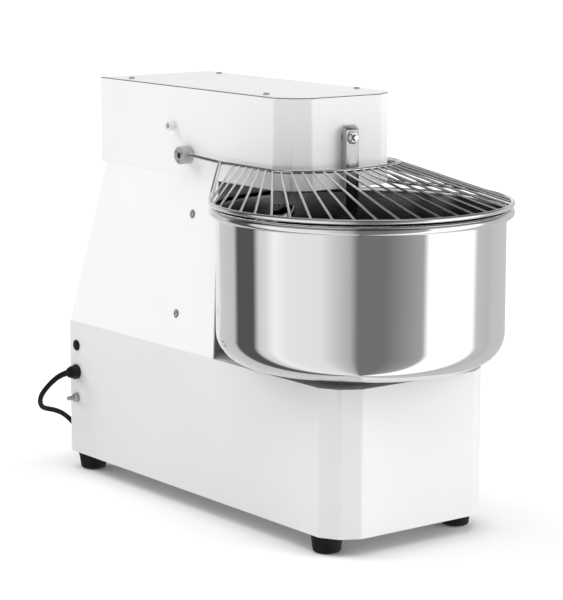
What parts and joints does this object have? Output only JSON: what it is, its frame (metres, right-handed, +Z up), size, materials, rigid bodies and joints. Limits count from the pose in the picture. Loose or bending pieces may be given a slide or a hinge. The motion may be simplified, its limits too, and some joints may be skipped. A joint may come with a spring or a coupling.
{
  "type": "spiral dough mixer",
  "caption": "Bench spiral dough mixer: turning steel bowl, offset spiral hook, central breaker bar, lifting wire guard, white sheet-metal base, column and head.",
  "frame": {"origin": "on the floor, centre of the bounding box without the mains cord", "axes": "+Z up, +Y from the bowl at the front to the column at the rear, +X completes a right-handed frame"},
  "size_m": [0.38, 0.8145, 0.5444],
  "materials": {
    "white_coat": "semi-gloss powder coat",
    "lid_coat": "semi-gloss powder coat",
    "zinc_plate": "dull zinc plate",
    "black_rubber": "matt",
    "screw_steel": "bright",
    "brushed_bar": "brushed stainless",
    "bolt_steel": "bright",
    "dark_steel": "oiled",
    "cast_grey": "cast",
    "motor_paint": "semi-matt",
    "black_plastic": "fine grain",
    "bearing_steel": "ground",
    "white_plastic": "satin",
    "mirror_steel": "mirror-polished stainless",
    "hook_steel": "polished stainless",
    "bronze": "machined",
    "guard_wire": "electropolished",
    "turned_steel": "turned",
    "green_plastic": "gloss",
    "red_plastic": "gloss"
  },
  "bodies": {
    "frame": {"base_casing": "white_coat", "base_floor_plate": "zinc_plate", "rubber_feet": "black_rubber", "foot_screws": "screw_steel", "column_left_panel": "white_coat", "column_right_panel": "white_coat", "column_front_panel": "white_coat", "column_rear_cover": "white_coat", "column_screws": "screw_steel", "column_posts": "zinc_plate", "head_casing": "white_coat", "head_floor": "white_coat", "head_lid": "lid_coat", "lid_screws": "screw_steel", "breaker_bar": "brushed_bar", "breaker_bar_spacers": "dark_steel", "breaker_bar_bolt": "bolt_steel", "gearbox_bracket": "zinc_plate", "gearbox_housing": "cast_grey", "motor_body": "motor_paint", "fan_cowl": "black_plastic", "terminal_box": "black_plastic", "jackshaft_bearings": "cast_grey", "spiral_bearing_housing": "cast_grey", "bowl_bearing_housing": "cast_grey", "ball_bearings": "bearing_steel", "upper_chain": "dark_steel", "lower_chain": "dark_steel", "guard_pivot_pins": "bearing_steel", "guard_stop": "white_plastic", "guard_stop_screw": "screw_steel", "guard_switch": "black_plastic", "cable_gland": "black_plastic", "blanking_plug": "black_plastic", "earth_stud": "screw_steel", "control_box": "zinc_plate", "button_plate": "black_plastic", "button_switches": "black_plastic", "power_cord": "black_rubber", "cord_coil": "black_rubber", "mains_plug": "black_plastic"},
    "bowl": {"bowl": "mirror_steel", "bowl_flange": "cast_grey", "bowl_bolts": "screw_steel", "bowl_shaft": "bearing_steel", "bowl_sprocket": "dark_steel"},
    "spiral": {"spiral_hook": "hook_steel", "spiral_shaft": "hook_steel", "spiral_sprocket": "dark_steel"},
    "jackshaft": {"jackshaft": "bearing_steel", "jackshaft_sprockets": "dark_steel", "worm_wheel": "bronze"},
    "motor_rotor": {"motor_rotor": "bearing_steel", "cooling_fan": "black_plastic"},
    "guard": {"guard_frame": "guard_wire", "guard_hubs": "turned_steel", "guard_ring": "guard_wire", "guard_spokes": "guard_wire"},
    "start_button": {"start_button": "green_plastic"},
    "stop_button": {"stop_button": "red_plastic"}
  },
  "joints": [
    {"name": "bowl_spin", "type": "hinge", "parent": "frame", "child": "bowl", "pos_m": [0, -0.145, 0.16], "axis": [0, 0, 1], "continuous": true},
    {"name": "spiral_spin", "type": "hinge", "parent": "frame", "child": "spiral", "pos_m": [-0.054, -0.061, 0.44], "axis": [0, 0, 1], "continuous": true},
    {"name": "jackshaft_spin", "type": "hinge", "parent": "frame", "child": "jackshaft", "pos_m": [0, 0.111, 0.25], "axis": [0, 0, 1], "continuous": true},
    {"name": "motor_spin", "type": "hinge", "parent": "frame", "child": "motor_rotor", "pos_m": [0.04, 0.205, 0.261], "axis": [0, 1, 0], "continuous": true},
    {"name": "guard_lift", "type": "hinge", "parent": "frame", "child": "guard", "pos_m": [0, 0.098, 0.455], "axis": [-1, 0, 0], "range_deg": [0, 120]},
    {"name": "start_press", "type": "slide", "parent": "frame", "child": "start_button", "axis": [-1, 0, 0], "range_m": [0, 0.0035], "stiffness_N_per_m": 400},
    {"name": "stop_press", "type": "slide", "parent": "frame", "child": "stop_button", "axis": [-1, 0, 0], "range_m": [0, 0.0035], "stiffness_N_per_m": 400}
  ],
  "couplings": [
    {"joint": "spiral_spin", "follows": "bowl_spin", "ratio": 6},
    {"joint": "jackshaft_spin", "follows": "bowl_spin", "ratio": 6},
    {"joint": "motor_spin", "follows": "bowl_spin", "ratio": 84}
  ]
}
